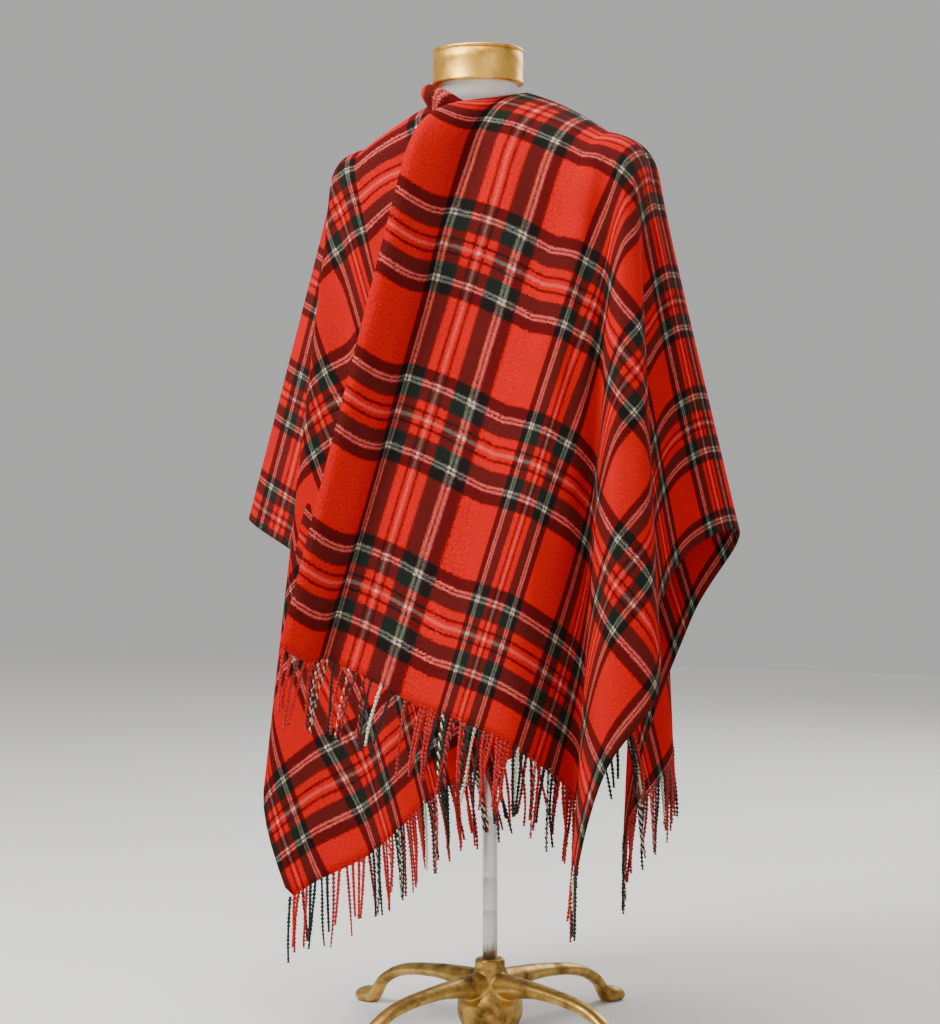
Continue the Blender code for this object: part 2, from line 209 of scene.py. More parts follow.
# %% [markdown]
# ## Brushed wool
# The cloth is wool twill, milled and then brushed, so its threads hide under a short nap. The nap blurs the
# stripes' edges, scatters light softly and shows almost no gloss. In the shader a fine noise moves the place
# where a stripe is looked up, a coarser one darkens and lightens the tufts of nap, and a sheen stands for the
# light that the nap scatters. The twill is a faint diagonal. Its real threads are about 1 mm apart, and it is
# drawn at 3 mm, because a finer one would not show.

# %% Make the wool
TWILL_PITCH = 0.003
# Tufts of nap about 2.5 mm across, as they show in the photo.
NAP_SCALE = 380.0
FIBRE_SCALE = 900.0
# The fibres move a stripe's edge by half of this at most, in metres.
FIBRE_BLUR = 0.011
# How far the diagonal favours warp or weft, and how far two crossing colours deepen instead of mixing evenly.
TWILL_CONTRAST = 0.12
CROSSING_DEPTH = 0.85


def woven_colour(tree, coordinates):
    """Stripes both ways, mixed as warp and weft, and the height of the twill."""
    fibre = add(tree, "TexNoise", {}, {"Vector": coordinates, "Scale": FIBRE_SCALE, "Detail": 2.0})
    centred = add(tree, "VectorMath", {"operation": "SUBTRACT"},
                  {0: fibre.outputs["Color"], 1: (0.5, 0.5, 0.5)})
    spread = add(tree, "VectorMath", {"operation": "SCALE"}, {0: centred.outputs[0], "Scale": FIBRE_BLUR})
    moved = add(tree, "VectorMath", {"operation": "ADD"}, {0: coordinates, 1: spread.outputs[0]})
    place = add(tree, "SeparateXYZ", {}, {0: moved.outputs[0]})
    warp = stripe_ramp(tree, place.outputs[0], STRIPES_ACROSS, HALF_REPEAT_ACROSS, RED_ACROSS)
    weft = stripe_ramp(tree, place.outputs[1], STRIPES_ALONG, HALF_REPEAT_ALONG,
                       GROUP_FROM_END + HALF_REPEAT_ALONG)
    diagonal = add(tree, "Math", {"operation": "ADD"}, {0: place.outputs[0], 1: place.outputs[1]})
    turns = add(tree, "Math", {"operation": "MULTIPLY"},
                {0: diagonal.outputs[0], 1: 2 * math.pi / TWILL_PITCH})
    wave = add(tree, "Math", {"operation": "SINE"}, {0: turns.outputs[0]})
    over = add(tree, "Math", {"operation": "MULTIPLY_ADD"}, {0: wave.outputs[0], 1: TWILL_CONTRAST, 2: 0.5})
    even = add(tree, "Mix", {"data_type": "RGBA"}, {0: over.outputs[0], 6: warp, 7: weft})
    product = add(tree, "Mix", {"data_type": "RGBA", "blend_type": "MULTIPLY"}, {0: 1.0, 6: warp, 7: weft})
    deep = add(tree, "Gamma", {}, {"Color": product.outputs[2], "Gamma": 0.5})
    both = add(tree, "Mix", {"data_type": "RGBA"},
               {0: CROSSING_DEPTH, 6: even.outputs[2], 7: deep.outputs[0]})
    return both.outputs[2], wave.outputs[0], fibre.outputs["Fac"]


def make_wool():
    """Brushed wool twill: deep colour, no gloss, and a short uneven nap that softens every edge."""
    material, tree, shader = new_material("brushed_wool_twill", 0.92)
    coordinates = add(tree, "UVMap", {"uv_map": "cut"}, {}).outputs["UV"]
    colour, twill, fibre = woven_colour(tree, coordinates)
    patches = add(tree, "TexNoise", {}, {"Vector": coordinates, "Scale": 14.0, "Detail": 3.0})
    nap = add(tree, "TexNoise", {},
              {"Vector": coordinates, "Scale": NAP_SCALE, "Detail": 3.0, "Roughness": 0.7})
    tufts = add(tree, "MapRange", {}, {"Value": nap.outputs["Fac"], "From Min": 0.3, "From Max": 0.7,
                                       "To Min": 0.74, "To Max": 1.24})
    level = add(tree, "MapRange", {}, {"Value": patches.outputs["Fac"], "To Min": 0.84, "To Max": 1.10})
    grain = add(tree, "MapRange", {}, {"Value": fibre, "From Min": 0.3, "From Max": 0.7, "To Min": 0.66,
                                       "To Max": 1.26})
    uneven = add(tree, "Math", {"operation": "MULTIPLY"}, {0: level.outputs[0], 1: grain.outputs[0]})
    both = add(tree, "Math", {"operation": "MULTIPLY"}, {0: uneven.outputs[0], 1: tufts.outputs[0]})
    worn = add(tree, "VectorMath", {"operation": "SCALE"}, {0: colour, "Scale": both.outputs[0]})
    tree.links.new(worn.outputs[0], shader.inputs["Base Color"])
    shader.inputs["Specular IOR Level"].default_value = 0.08
    shader.inputs["Sheen Weight"].default_value = 0.07
    shader.inputs["Sheen Roughness"].default_value = 0.45
    shader.inputs["Sheen Tint"].default_value = linear("#ff5a48")
    ribbed = add(tree, "Math", {"operation": "MULTIPLY_ADD"}, {0: twill, 1: 0.25, 2: fibre})
    height = add(tree, "Math", {"operation": "ADD"}, {0: ribbed.outputs[0], 1: nap.outputs["Fac"]})
    bump = add(tree, "Bump", {}, {"Height": height.outputs[0], "Distance": 0.0009, "Strength": 0.5})
    tree.links.new(bump.outputs["Normal"], shader.inputs["Normal"])
    return material


WOOL = make_wool()
print("wool nodes:", len(WOOL.node_tree.nodes))

# %% [markdown]
# ## How the blanket hangs
# The blanket's shape is worked out, not sculpted. Each fold runs down from a shoulder. A table says how far
# each fold drifts outwards and backwards for each metre of its length. A smooth curve fills in between the
# rows. A place on the hanging cloth always knows its place on the flat cut, so the stripes follow every fold.
# A cloth simulation would also drape it, but would not give this lap and these folds each time.

# %% The cut and the drape
HALF_WIDTH = 0.76
FRONT_LENGTH = {"left": 0.86, "right": 0.93}
MEAN_FRONT_LENGTH = 0.895
BACK_LENGTH = 0.85
NECK_HALF = 0.07
NECK_SCOOP = 0.05
CLOTH_THICK = 0.0025
SHOULDER_ACROSS = 0.175
SHOULDER = Vector((0.185, -0.010, 1.245))
NECK_SIDE = Vector((0.066, -0.020, 1.306))
NECK_FRONT = {"left": Vector((0.012, -0.106, 1.286)), "right": Vector((0.030, -0.086, 1.272))}
NECK_BACK = Vector((0.0, 0.048, 1.312))
SHOULDER_BEND_SIDE = 0.09
SHOULDER_BEND_BACK = 0.15
SHOULDER_BEND_FRONT = {"left": 0.17, "right": 0.11}
SHOULDER_SLOPE = math.radians(14)
FRONT_LIE = {"left": 0.0, "right": math.radians(24)}
LAYER_GAP = {"back": 0.018, "right": 0.016, "left": 0.036}
BEND_STEPS = 14

# turn: 0 slit edge, 1 front of the shoulder, 2 side, 3 back of the shoulder, 4 centre back.
DRAPE = {
    "left": (
        # turn, drift_x, drift_y
        (0.00, -0.185, -0.170),
        (0.60, -0.225, -0.195),
        (1.00, -0.200, -0.215),
        (1.14, -0.075, -0.225),
        (1.26, -0.015, -0.120),
        (1.37, 0.005, -0.185),
        (1.44, 0.060, -0.250),
        (1.51, 0.125, -0.205),
        (1.63, 0.080, -0.105),
        (1.79, 0.120, -0.055),
        (2.00, 0.235, 0.000),
        (2.18, 0.185, 0.100),
        (2.38, 0.060, 0.040),
        (2.62, -0.050, 0.005),
        (2.76, 0.010, 0.088),
        (2.87, -0.034, 0.146),
        (3.00, -0.028, 0.106),
        (3.45, -0.020, 0.140),
        (4.00, 0.000, 0.110),
    ),
    "right": (
        (0.00, -0.330, 0.000),
        (0.60, -0.330, -0.040),
        (1.00, -0.290, -0.070),
        (1.15, -0.210, -0.100),
        (1.28, -0.085, -0.055),
        (1.34, 0.014, -0.060),
        (1.43, 0.085, -0.070),
        (1.60, -0.050, -0.030),
        (1.79, 0.030, -0.125),
        (2.00, 0.285, 0.000),
        (2.14, 0.240, 0.115),
        (2.26, 0.140, 0.020),
        (2.38, 0.150, 0.140),
        (2.50, 0.050, 0.040),
        (2.62, 0.085, 0.150),
        (2.72, -0.010, 0.080),
        (2.81, 0.030, 0.175),
        (2.90, -0.036, 0.150),
        (3.00, -0.026, 0.110),
        (3.50, -0.010, 0.150),
        (4.00, 0.000, 0.110),
    ),
}
FORM = (
    # height, half_width, half_depth, middle_y
    (0.640, 0.128, 0.088, 0.000),
    (0.680, 0.140, 0.098, 0.000),
    (0.760, 0.143, 0.102, 0.002),
    (0.860, 0.118, 0.084, -0.004),
    (0.930, 0.108, 0.078, -0.008),
    (1.020, 0.122, 0.092, -0.014),
    (1.100, 0.138, 0.098, -0.016),
    (1.165, 0.152, 0.084, -0.014),
    (1.205, 0.160, 0.062, -0.014),
    (1.232, 0.166, 0.038, -0.013),
    (1.2550, 0.158, 0.009, -0.012),
    (1.2710, 0.138, 0.010, -0.0145),
    (1.2730, 0.108, 0.014, -0.016),
    (1.2770, 0.060, 0.035, -0.031),
    (1.2920, 0.056, 0.047, -0.034),
    (1.3180, 0.056, 0.051, -0.040),
)
FORM_KEPT_TOP = 1.235
FORM_FADE = 0.05
FORM_SOFT = 0.07


def through_rows(rows, value):
    """A smooth value between a table's rows, looked up by the first column."""
    def at(place):
        place = min(max(place, rows[0][0]), rows[-1][0])
        last = len(rows) - 2
        i = min(last, max(0, sum(1 for row in rows[1:] if row[0] < place)))
        before, low, high, after = rows[max(0, i - 1)], rows[i], rows[i + 1], rows[min(last + 1, i + 2)]
        span = high[0] - low[0]
        share = (place - low[0]) / span
        slope_low = (high[value] - before[value]) / (high[0] - before[0]) * span
        slope_high = (after[value] - low[value]) / (after[0] - low[0]) * span
        s2, s3 = share * share, share ** 3
        return ((2 * s3 - 3 * s2 + 1) * low[value] + (s3 - 2 * s2 + share) * slope_low
                + (3 * s2 - 2 * s3) * high[value] + (s3 - s2) * slope_high)
    return at


DRIFT = {side: (through_rows(rows, 1), through_rows(rows, 2)) for side, rows in DRAPE.items()}
FORM_WIDTH, FORM_DEPTH, FORM_MIDDLE = (through_rows(FORM, column) for column in (1, 2, 3))
print("folds:", {side: len(rows) for side, rows in DRAPE.items()})

# %% Where a place of the cloth hangs


def neck_start(across):
    """How far down the front the scooped neck takes the cloth's edge."""
    return NECK_SCOOP * max(0.0, 1.0 - across / NECK_HALF) ** 2


def start_of(side, across, behind):
    """The point on the shoulder line, or round the neck, from which the cloth hangs."""
    if across >= NECK_HALF:
        share = (across - NECK_HALF) / (SHOULDER_ACROSS - NECK_HALF)
        point = NECK_SIDE.lerp(SHOULDER, share)
        point.z += 0.006 * math.sin(math.pi * share)
        return point
    centre = NECK_BACK if behind else NECK_FRONT[side]
    share = across / NECK_HALF
    point = centre.lerp(NECK_SIDE, share)
    point.x += 0.010 * math.sin(math.pi * share)
    return point


def place_on_fold(side, turn, share):
    """The place on the flat cut, (across, along), this share of the way down a fold."""
    behind = turn > 2.0
    length = BACK_LENGTH if behind else FRONT_LENGTH[side]
    fold = 4.0 - turn if behind else turn
    if fold <= 1.0:
        across = fold * SHOULDER_ACROSS
        top = 0.0 if behind else neck_start(across)
        return across, top + (length - top) * share
    heading = math.radians(90.0) * (2.0 - fold)
    beyond = HALF_WIDTH - SHOULDER_ACROSS
    run = min(beyond / max(1e-9, math.cos(heading)), length / max(1e-9, math.sin(heading)))
    return SHOULDER_ACROSS + share * run * math.cos(heading), share * run * math.sin(heading)


def clear_of_form(point, gap):
    """The point, moved out of the dress form where it would lie inside."""
    below = FORM[0][0] - FORM_FADE
    fade = smooth((point.z - below) / FORM_FADE) * smooth((FORM_KEPT_TOP - point.z) / FORM_FADE)
    if fade <= 0.0:
        return point
    height = max(min(point.z, FORM_KEPT_TOP), FORM[0][0])
    middle = FORM_MIDDLE(height)
    wide, deep = FORM_WIDTH(height) + gap, FORM_DEPTH(height) + gap
    reach = math.hypot(point.x / wide, (point.y - middle) / deep)
    pushed = 1.0 + FORM_SOFT * math.log1p(math.exp(min(40.0, (reach - 1.0) / FORM_SOFT)))
    scale = 1.0 + fade * (pushed / max(reach, 0.05) - 1.0)
    return Vector((point.x * scale, middle + (point.y - middle) * scale, point.z))


def cloth_point(side, turn, share):
    """Where a place of the cloth hangs. Both halves are worked out on +X, and the right one is mirrored."""
    behind = turn > 2.0
    fold = 4.0 - turn if behind else turn
    across, along = place_on_fold(side, turn, share)
    toward = 1.0 if behind else -1.0
    if fold <= 1.0:
        start = start_of(side, across, behind)
        run = along - (0.0 if behind else neck_start(across))
        heading = toward * math.radians(90.0) if behind else math.radians(-90.0 - 25.0 * (1.0 - fold))
    else:
        start = SHOULDER.copy()
        run = math.hypot(across - SHOULDER_ACROSS, along)
        heading = toward * math.radians(90.0) * (2.0 - fold)
    drift_x, drift_y = (curve(turn) for curve in DRIFT[side])
    slope = SHOULDER_SLOPE + (0.0 if behind else FRONT_LIE[side] * smooth(1.0 - fold))
    out = Vector((math.cos(heading) * math.cos(slope), math.sin(heading) * math.cos(slope), -math.sin(slope)))
    down = Vector((drift_x, drift_y, -math.sqrt(1.0 - drift_x ** 2 - drift_y ** 2)))
    bend_end = SHOULDER_BEND_BACK if behind else SHOULDER_BEND_FRONT[side]
    bend = SHOULDER_BEND_SIDE + (bend_end - SHOULDER_BEND_SIDE) * abs(math.sin(heading))
    point = start
    step = min(run, bend) / BEND_STEPS
    for i in range(BEND_STEPS):
        turned_down = smooth((i + 0.5) * step / bend)
        point += out.lerp(down, turned_down).normalized() * step
    point += down * max(0.0, run - bend)
    lies_behind = smooth((turn - 1.7) / 0.6)
    point = clear_of_form(point, LAYER_GAP[side] + (LAYER_GAP["back"] - LAYER_GAP[side]) * lies_behind)
    if side == "right":
        point.x = -point.x
    return point


def place_in_weave(side, turn, share):
    """Metres across from the middle, and metres from the front fringe, for the stripes."""
    across, down = place_on_fold(side, turn, share)
    along = down if turn > 2.0 else -down
    own = FRONT_LENGTH[side]
    shared = MEAN_FRONT_LENGTH + (own - MEAN_FRONT_LENGTH) * min(1.0, across / SHOULDER_ACROSS)
    length = shared + (own - shared) * smooth(-along / 0.15)
    return (across if side == "left" else -across), length + along


print("left corner hangs at", [round(v, 3) for v in cloth_point("left", 1.38, 1.0)])

# %% [markdown]
# ## Creases
# Between the large folds wool shows a few soft troughs and ridges, uneven in length and depth. Each is a line
# drawn on the flat cut, and the cloth is raised or sunk along it with a soft edge.

# %% Place the creases one by one
CREASE_DEPTH = 1.45
CREASE_REACH = 2.5
CREASE_END_FADE = 0.7
CREASES = (
    # half, from across, from along, to across, to along, half width, height; along is negative in front
    ("left", 0.010, -0.06, 0.010, -0.84, 0.010, 0.0026),
    ("left", 0.050, -0.08, 0.110, -0.42, 0.020, -0.0030),
    ("left", 0.085, -0.05, 0.170, -0.36, 0.016, 0.0032),
    ("left", 0.120, -0.40, 0.200, -0.78, 0.026, -0.0036),
    ("left", 0.040, -0.46, 0.075, -0.80, 0.022, 0.0030),
    ("left", 0.200, -0.06, 0.300, -0.46, 0.016, -0.0034),
    ("left", 0.250, -0.20, 0.400, -0.70, 0.020, 0.0040),
    ("left", 0.330, -0.10, 0.600, -0.30, 0.018, -0.0036),
    ("left", 0.300, -0.04, 0.660, -0.09, 0.020, 0.0030),
    ("left", 0.450, -0.48, 0.560, -0.76, 0.018, -0.0034),
    ("left", 0.360, 0.08, 0.640, 0.26, 0.020, 0.0040),
    ("left", 0.270, 0.14, 0.480, 0.55, 0.018, -0.0040),
    ("left", 0.220, 0.20, 0.330, 0.72, 0.020, 0.0044),
    ("left", 0.150, 0.10, 0.180, 0.62, 0.020, -0.0040),
    ("left", 0.060, 0.16, 0.090, 0.76, 0.022, 0.0044),
    ("left", 0.100, 0.05, 0.040, 0.30, 0.018, 0.0030),
    ("right", 0.010, -0.06, 0.010, -0.90, 0.010, 0.0020),
    ("right", 0.150, -0.05, 0.210, -0.46, 0.016, 0.0030),
    ("right", 0.100, -0.04, 0.150, -0.30, 0.018, -0.0030),
    ("right", 0.260, -0.10, 0.420, -0.62, 0.020, -0.0036),
    ("right", 0.320, -0.06, 0.620, -0.22, 0.018, 0.0034),
    ("right", 0.300, 0.05, 0.660, 0.12, 0.020, -0.0034),
    ("right", 0.400, -0.56, 0.520, -0.88, 0.020, 0.0034),
    ("right", 0.260, 0.12, 0.440, 0.50, 0.018, 0.0040),
    ("right", 0.150, 0.12, 0.170, 0.70, 0.022, 0.0044),
    ("right", 0.070, 0.22, 0.050, 0.80, 0.020, -0.0044),
    ("right", 0.110, 0.06, 0.050, 0.34, 0.018, 0.0034),
)


def crease_height(side, across, along):
    """How far the creases raise the cloth at a place of the cut."""
    total = 0.0
    for half, x0, y0, x1, y1, width, height in CREASES:
        if half != side:
            continue
        run_x, run_y = x1 - x0, y1 - y0
        length = math.hypot(run_x, run_y)
        share = ((across - x0) * run_x + (along - y0) * run_y) / length ** 2
        if not 0.0 < share < 1.0:
            continue
        apart = abs((across - x0) * run_y - (along - y0) * run_x) / length
        if apart < CREASE_REACH * width:
            total += (CREASE_DEPTH * height * math.exp(-(apart / width) ** 2)
                      * math.sin(math.pi * share) ** CREASE_END_FADE)
    return total


print("creases:", len(CREASES))

# %% [markdown]
# ## The blanket
# The mesh follows the folds: a column of points for each fold, close together where the folds are, with the
# rows closer at the shoulders where the cloth bends. It is one sheet, welded across the shoulders and down
# the middle of the back, and it gets its thickness from a Solidify modifier.

# %% Make the blanket
CLOTH_ROWS = 72
ROW_CROWDING = 1.12
SHARES = [(k / CLOTH_ROWS) ** ROW_CROWDING for k in range(CLOTH_ROWS + 1)]
CHEST_COLUMNS = 20
FOLD_COLUMNS = 88
WELD_DISTANCE = 2e-5
FLAT_DISTANCE = 1e-6


def fold_turns(behind):
    """The turns at which a quarter of the blanket has a column of points."""
    chest = [i / CHEST_COLUMNS for i in range(CHEST_COLUMNS)]
    folds = [1.0 + i / FOLD_COLUMNS for i in range(FOLD_COLUMNS + 1)]
    if not behind:
        return chest + folds
    back = [4.0 - fold for fold in reversed(chest + folds)]
    return [2.0 + 1e-7] + back[1:]


def cloth_quarter(side, behind, points, faces, cut, heights):
    """Adds a quarter of the blanket to the lists."""
    turns = fold_turns(behind)
    first = len(points)
    for turn in turns:
        for share in SHARES:
            across, down = place_on_fold(side, turn, share)
            points.append(cloth_point(side, turn, share))
            cut.append(place_in_weave(side, turn, share))
            heights.append(crease_height(side, across, down if behind else -down))
    rows = len(SHARES)
    for i in range(len(turns) - 1):
        for k in range(rows - 1):
            a = first + i * rows + k
            cell = (a, a + 1, a + rows + 1, a + rows)
            faces.append(cell if side == "left" else tuple(reversed(cell)))


def make_blanket():
    """The four quarters as one welded sheet, raised along its creases."""
    points, faces, cut, heights = [], [], [], []
    for side in ("left", "right"):
        for behind in (False, True):
            cloth_quarter(side, behind, points, faces, cut, heights)
    blanket = make_object("serape_cloth", points, faces, WOOL)
    mesh = blanket.data
    lay_on_cut(blanket, cut)
    raised = mesh.attributes.new("raised", "FLOAT", "POINT")
    raised.data.foreach_set("value", heights)
    shape = bmesh.new()
    shape.from_mesh(mesh)
    bmesh.ops.remove_doubles(shape, verts=shape.verts, dist=WELD_DISTANCE)
    # Welding leaves flat faces at the points of the shoulders.
    bmesh.ops.dissolve_degenerate(shape, edges=shape.edges, dist=FLAT_DISTANCE)
    bmesh.ops.recalc_face_normals(shape, faces=shape.faces)
    shape.normal_update()
    middles = [(face, face.calc_center_median()) for face in shape.faces]
    outward = sum(face.normal.dot(Vector((middle.x, middle.y, 0))) for face, middle in middles)
    if outward < 0:
        bmesh.ops.reverse_faces(shape, faces=shape.faces)
        shape.normal_update()
    raised = shape.verts.layers.float["raised"]
    moves = [v.normal * v[raised] for v in shape.verts]
    for v, move in zip(shape.verts, moves):
        v.co += move
    shape.to_mesh(mesh)
    shape.free()
    thick = blanket.modifiers.new("thickness", "SOLIDIFY")
    thick.thickness = CLOTH_THICK
    thick.offset = -1.0
    return blanket


BLANKET = make_blanket()
print("blanket faces:", len(BLANKET.data.polygons))

# %% [markdown]
# ## The fringe
# At both short ends the weft stops and the warp threads go on. They are twisted by hand into thin cords, so
# the fringe shows the stripes' colours in order. Each strand here is two plies wound round each other, about
# 10 mm from the next. Each ply takes its own colour, 4 mm along the stripes from the other's, so a strand at
# a stripe's edge shows two. Strands lean together in groups of four, as they do once a fringe has been worn.
# No two have quite the same length or sway.

# %% Make the fringe's yarn


def make_yarn():
    """Twisted wool yarn: matt, with loose fibres that make each ply a little uneven in tone."""
    material, tree, shader = new_material("twisted_wool_yarn", 0.95)
    coordinates = add(tree, "UVMap", {"uv_map": "cut"}, {}).outputs["UV"]
    place = add(tree, "SeparateXYZ", {}, {0: coordinates})
    colour = stripe_ramp(tree, place.outputs[0], STRIPES_ACROSS, HALF_REPEAT_ACROSS, RED_ACROSS)
    position = add(tree, "TexCoord", {}, {}).outputs["Object"]
    fibre = add(tree, "TexNoise", {}, {"Vector": position, "Scale": 1400.0, "Detail": 2.0})
    level = add(tree, "MapRange", {}, {"Value": fibre.outputs["Fac"], "From Min": 0.3, "From Max": 0.7,
                                       "To Min": 0.7, "To Max": 1.15})
    worn = add(tree, "VectorMath", {"operation": "SCALE"}, {0: colour, "Scale": level.outputs[0]})
    tree.links.new(worn.outputs[0], shader.inputs["Base Color"])
    shader.inputs["Specular IOR Level"].default_value = 0.15
    shader.inputs["Sheen Weight"].default_value = 0.15
    bump = add(tree, "Bump", {}, {"Height": fibre.outputs["Fac"], "Distance": 0.0005, "Strength": 0.5})
    tree.links.new(bump.outputs["Normal"], shader.inputs["Normal"])
    return material


YARN = make_yarn()
print("yarn nodes:", len(YARN.node_tree.nodes))

# %% Make the fringes
STRAND_PITCH = 0.0098
STRAND_LENGTH = 0.096
PLY_RADIUS = 0.0019
PLY_OFFSET = 0.004
GROUP_STRANDS = 4
PLY_SIDES = 5
TWIST_LENGTH = 0.012
STRAND_STEPS = 18
STRAND_SWAY = 0.005
HANG_SOFTENS = 0.7
PLY_TAPER = 0.25
PLY_CLOSENESS = 0.9
GROUP_LEAN = 0.55
ROOT_DEPTH = 0.004


def turn_at(side, behind, across):
    """The fold that ends at this place of the cut end."""
    if across <= SHOULDER_ACROSS:
        fold = across / SHOULDER_ACROSS
    else:
        length = BACK_LENGTH if behind else FRONT_LENGTH[side]
        fold = 2.0 - math.atan2(length, across - SHOULDER_ACROSS) / math.radians(90.0)
    return 4.0 - fold if behind else fold


def add_strand(root, hang, length, lean, colour_place, rng, points, faces, cut):
    """Two twisted plies that hang from a point of the hem and lean to the middle of their group."""
    sway = Vector((rng.uniform(-1, 1), rng.uniform(-1, 1), 0)) * STRAND_SWAY
    phase = rng.uniform(0, 2 * math.pi)
    waves = rng.uniform(0.5, 1.1)
    path = []
    point = root.copy()
    for step in range(STRAND_STEPS + 1):
        share = step / STRAND_STEPS
        path.append(point + sway * math.sin(math.pi * waves * share + phase) * share + lean * share)
        falling = hang.lerp(Vector((0, 0, -1)), HANG_SOFTENS * share).normalized()
        point = point + falling * (length / STRAND_STEPS)
    for ply in (0, 1):
        first = len(points)
        for step, middle in enumerate(path):
            share = step / STRAND_STEPS
            wound = 2 * math.pi * share * length / TWIST_LENGTH + math.pi * ply + phase
            radius = PLY_RADIUS * (1.0 - PLY_TAPER * share)
            centre = middle + Vector((math.cos(wound), math.sin(wound), 0)) * radius * PLY_CLOSENESS
            for k in range(PLY_SIDES):
                angle = 2 * math.pi * k / PLY_SIDES + wound
                points.append(centre + Vector((math.cos(angle), math.sin(angle), 0)) * radius)
                cut.append((colour_place + ply * PLY_OFFSET, share))
        for step in range(STRAND_STEPS):
            for k in range(PLY_SIDES):
                a = first + step * PLY_SIDES + k
                b = first + step * PLY_SIDES + (k + 1) % PLY_SIDES
                faces.append((a, a + PLY_SIDES, b + PLY_SIDES, b))
        faces.append(tuple(range(first, first + PLY_SIDES)))
        last = first + STRAND_STEPS * PLY_SIDES
        faces.append(tuple(reversed(range(last, last + PLY_SIDES))))


def make_fringe(name, halves, behind, seed):
    """The strands of one cut end, or of both halves of the back's."""
    rng = random.Random(seed)
    points, faces, cut = [], [], []
    count = 0
    for side in halves:
        across = STRAND_PITCH / 2
        while across < HALF_WIDTH:
            turn = turn_at(side, behind, across)
            root = cloth_point(side, turn, 1.0)
            hang = (root - cloth_point(side, turn, 0.95)).normalized()
            beside = cloth_point(side, turn + 0.01, 1.0) - root
            inward = beside.cross(hang).normalized() * (CLOTH_THICK / 2)
            if side == "left":
                inward.negate()
            colour_place = across if side == "left" else -across
            length = STRAND_LENGTH * rng.uniform(0.78, 1.10)
            from_middle = count % GROUP_STRANDS - (GROUP_STRANDS - 1) / 2
            lean = beside.normalized() * (GROUP_LEAN * STRAND_PITCH * from_middle)
            if not behind:
                lean.negate()
            start = root - inward - hang * ROOT_DEPTH
            add_strand(start, hang, length, lean, colour_place, rng, points, faces, cut)
            across += STRAND_PITCH * rng.uniform(0.88, 1.12)
            count += 1
    fringe = make_object(name, points, faces, YARN)
    lay_on_cut(fringe, cut)
    print(name, "strands:", count)
    return fringe


FRINGE_LEFT = make_fringe("fringe_left_strands", ("left",), False, 3)
FRINGE_RIGHT = make_fringe("fringe_right_strands", ("right",), False, 5)
FRINGE_BACK = make_fringe("fringe_back_strands", ("left", "right"), True, 8)

# %% [markdown]
# ## The rolled collar
# The right front's wool is turned up round the neck and rolls over on itself. Small pleats run down from it,
# and its end goes under the left front's edge. A collar could be cut on its own, but here it is only the
# blanket's edge. So it is drawn as a short sheet that rises from the right front, goes over the top and ends
# a little way down inside.

# %% Make the rolled collar
COLLAR_TOP = (
    # share of the way from the side of the neck to the slit, x, y, z, radius of the roll
    (0.00, -0.069, -0.010, 1.3095, 0.0045),
    (0.25, -0.070, -0.042, 1.3105, 0.0062),
    (0.50, -0.058, -0.075, 1.3090, 0.0078),
    (0.75, -0.033, -0.094, 1.3005, 0.0074),
    (1.00, 0.004, -0.0965, 1.2830, 0.0035),
)
COLLAR_PLEATS = 5
COLLAR_PLEAT_DEPTH = 0.0022
COLLAR_COLUMNS = 90
COLLAR_ROWS = 30
COLLAR_FOOT = 0.055
COLLAR_INSIDE = 0.014


def along_points(stops, share):
    """A place on a smooth curve through a few points."""
    count = len(stops) - 1
    rows = [(i / count, *stop) for i, stop in enumerate(stops)]
    return Vector([through_rows(rows, column)(share) for column in (1, 2, 3)])


def make_collar():
    """A short pleated sheet that rises from the right front and rolls over."""
    top_x, top_y, top_z, roll_radius = (through_rows(COLLAR_TOP, column) for column in (1, 2, 3, 4))
    points, faces, cut = [], [], []
    for i in range(COLLAR_COLUMNS + 1):
        share = i / COLLAR_COLUMNS
        across = NECK_HALF * (1.0 - share)
        turn = across / SHOULDER_ACROSS
        foot = cloth_point("right", turn, COLLAR_FOOT)
        middle = cloth_point("right", turn, COLLAR_FOOT * 0.5)
        top = Vector((top_x(share), top_y(share), top_z(share)))
        outward = Vector((top.x, top.y - FORM[-1][3], 0)).normalized()
        radius = roll_radius(share) * (1.0 + 0.12 * math.sin(9.0 * share))
        stops = [
            foot + outward * 0.0005,
            middle.lerp(top, 0.25) + outward * 0.004,
            top + outward * radius - Vector((0, 0, radius)),
            top + outward * radius * 0.7 + Vector((0, 0, radius * 0.7)),
            top + Vector((0, 0, radius)),
            top - outward * radius * 0.7 + Vector((0, 0, radius * 0.2)),
            top - outward * radius * 0.7 - Vector((0, 0, COLLAR_INSIDE)),
        ]
        for k in range(COLLAR_ROWS + 1):
            down = k / COLLAR_ROWS
            pleat = math.sin(2 * math.pi * (COLLAR_PLEATS * share + 0.35 * down)) * smooth(share * 3)
            height = COLLAR_PLEAT_DEPTH * pleat * math.sin(math.pi * min(1.0, down * 1.3))
            points.append(along_points(stops, down) + outward * height)
            cut.append((-across - 0.02 * down, FRONT_LENGTH["right"] - NECK_SCOOP + 0.05 * down))
    rows = COLLAR_ROWS + 1
    for i in range(COLLAR_COLUMNS):
        for k in range(COLLAR_ROWS):
            a = i * rows + k
            faces.append((a, a + rows, a + rows + 1, a + 1))
    collar = make_object("rolled_collar", points, faces, WOOL)
    lay_on_cut(collar, cut)
    thick = collar.modifiers.new("thickness", "SOLIDIFY")
    thick.thickness = CLOTH_THICK
    thick.offset = 0.0
    return collar


COLLAR = make_collar()
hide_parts("left_front", "right_front", "back")
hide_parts("fringe_left")
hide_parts("fringe_right")
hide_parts("fringe_back")
print("collar faces:", len(COLLAR.data.polygons))

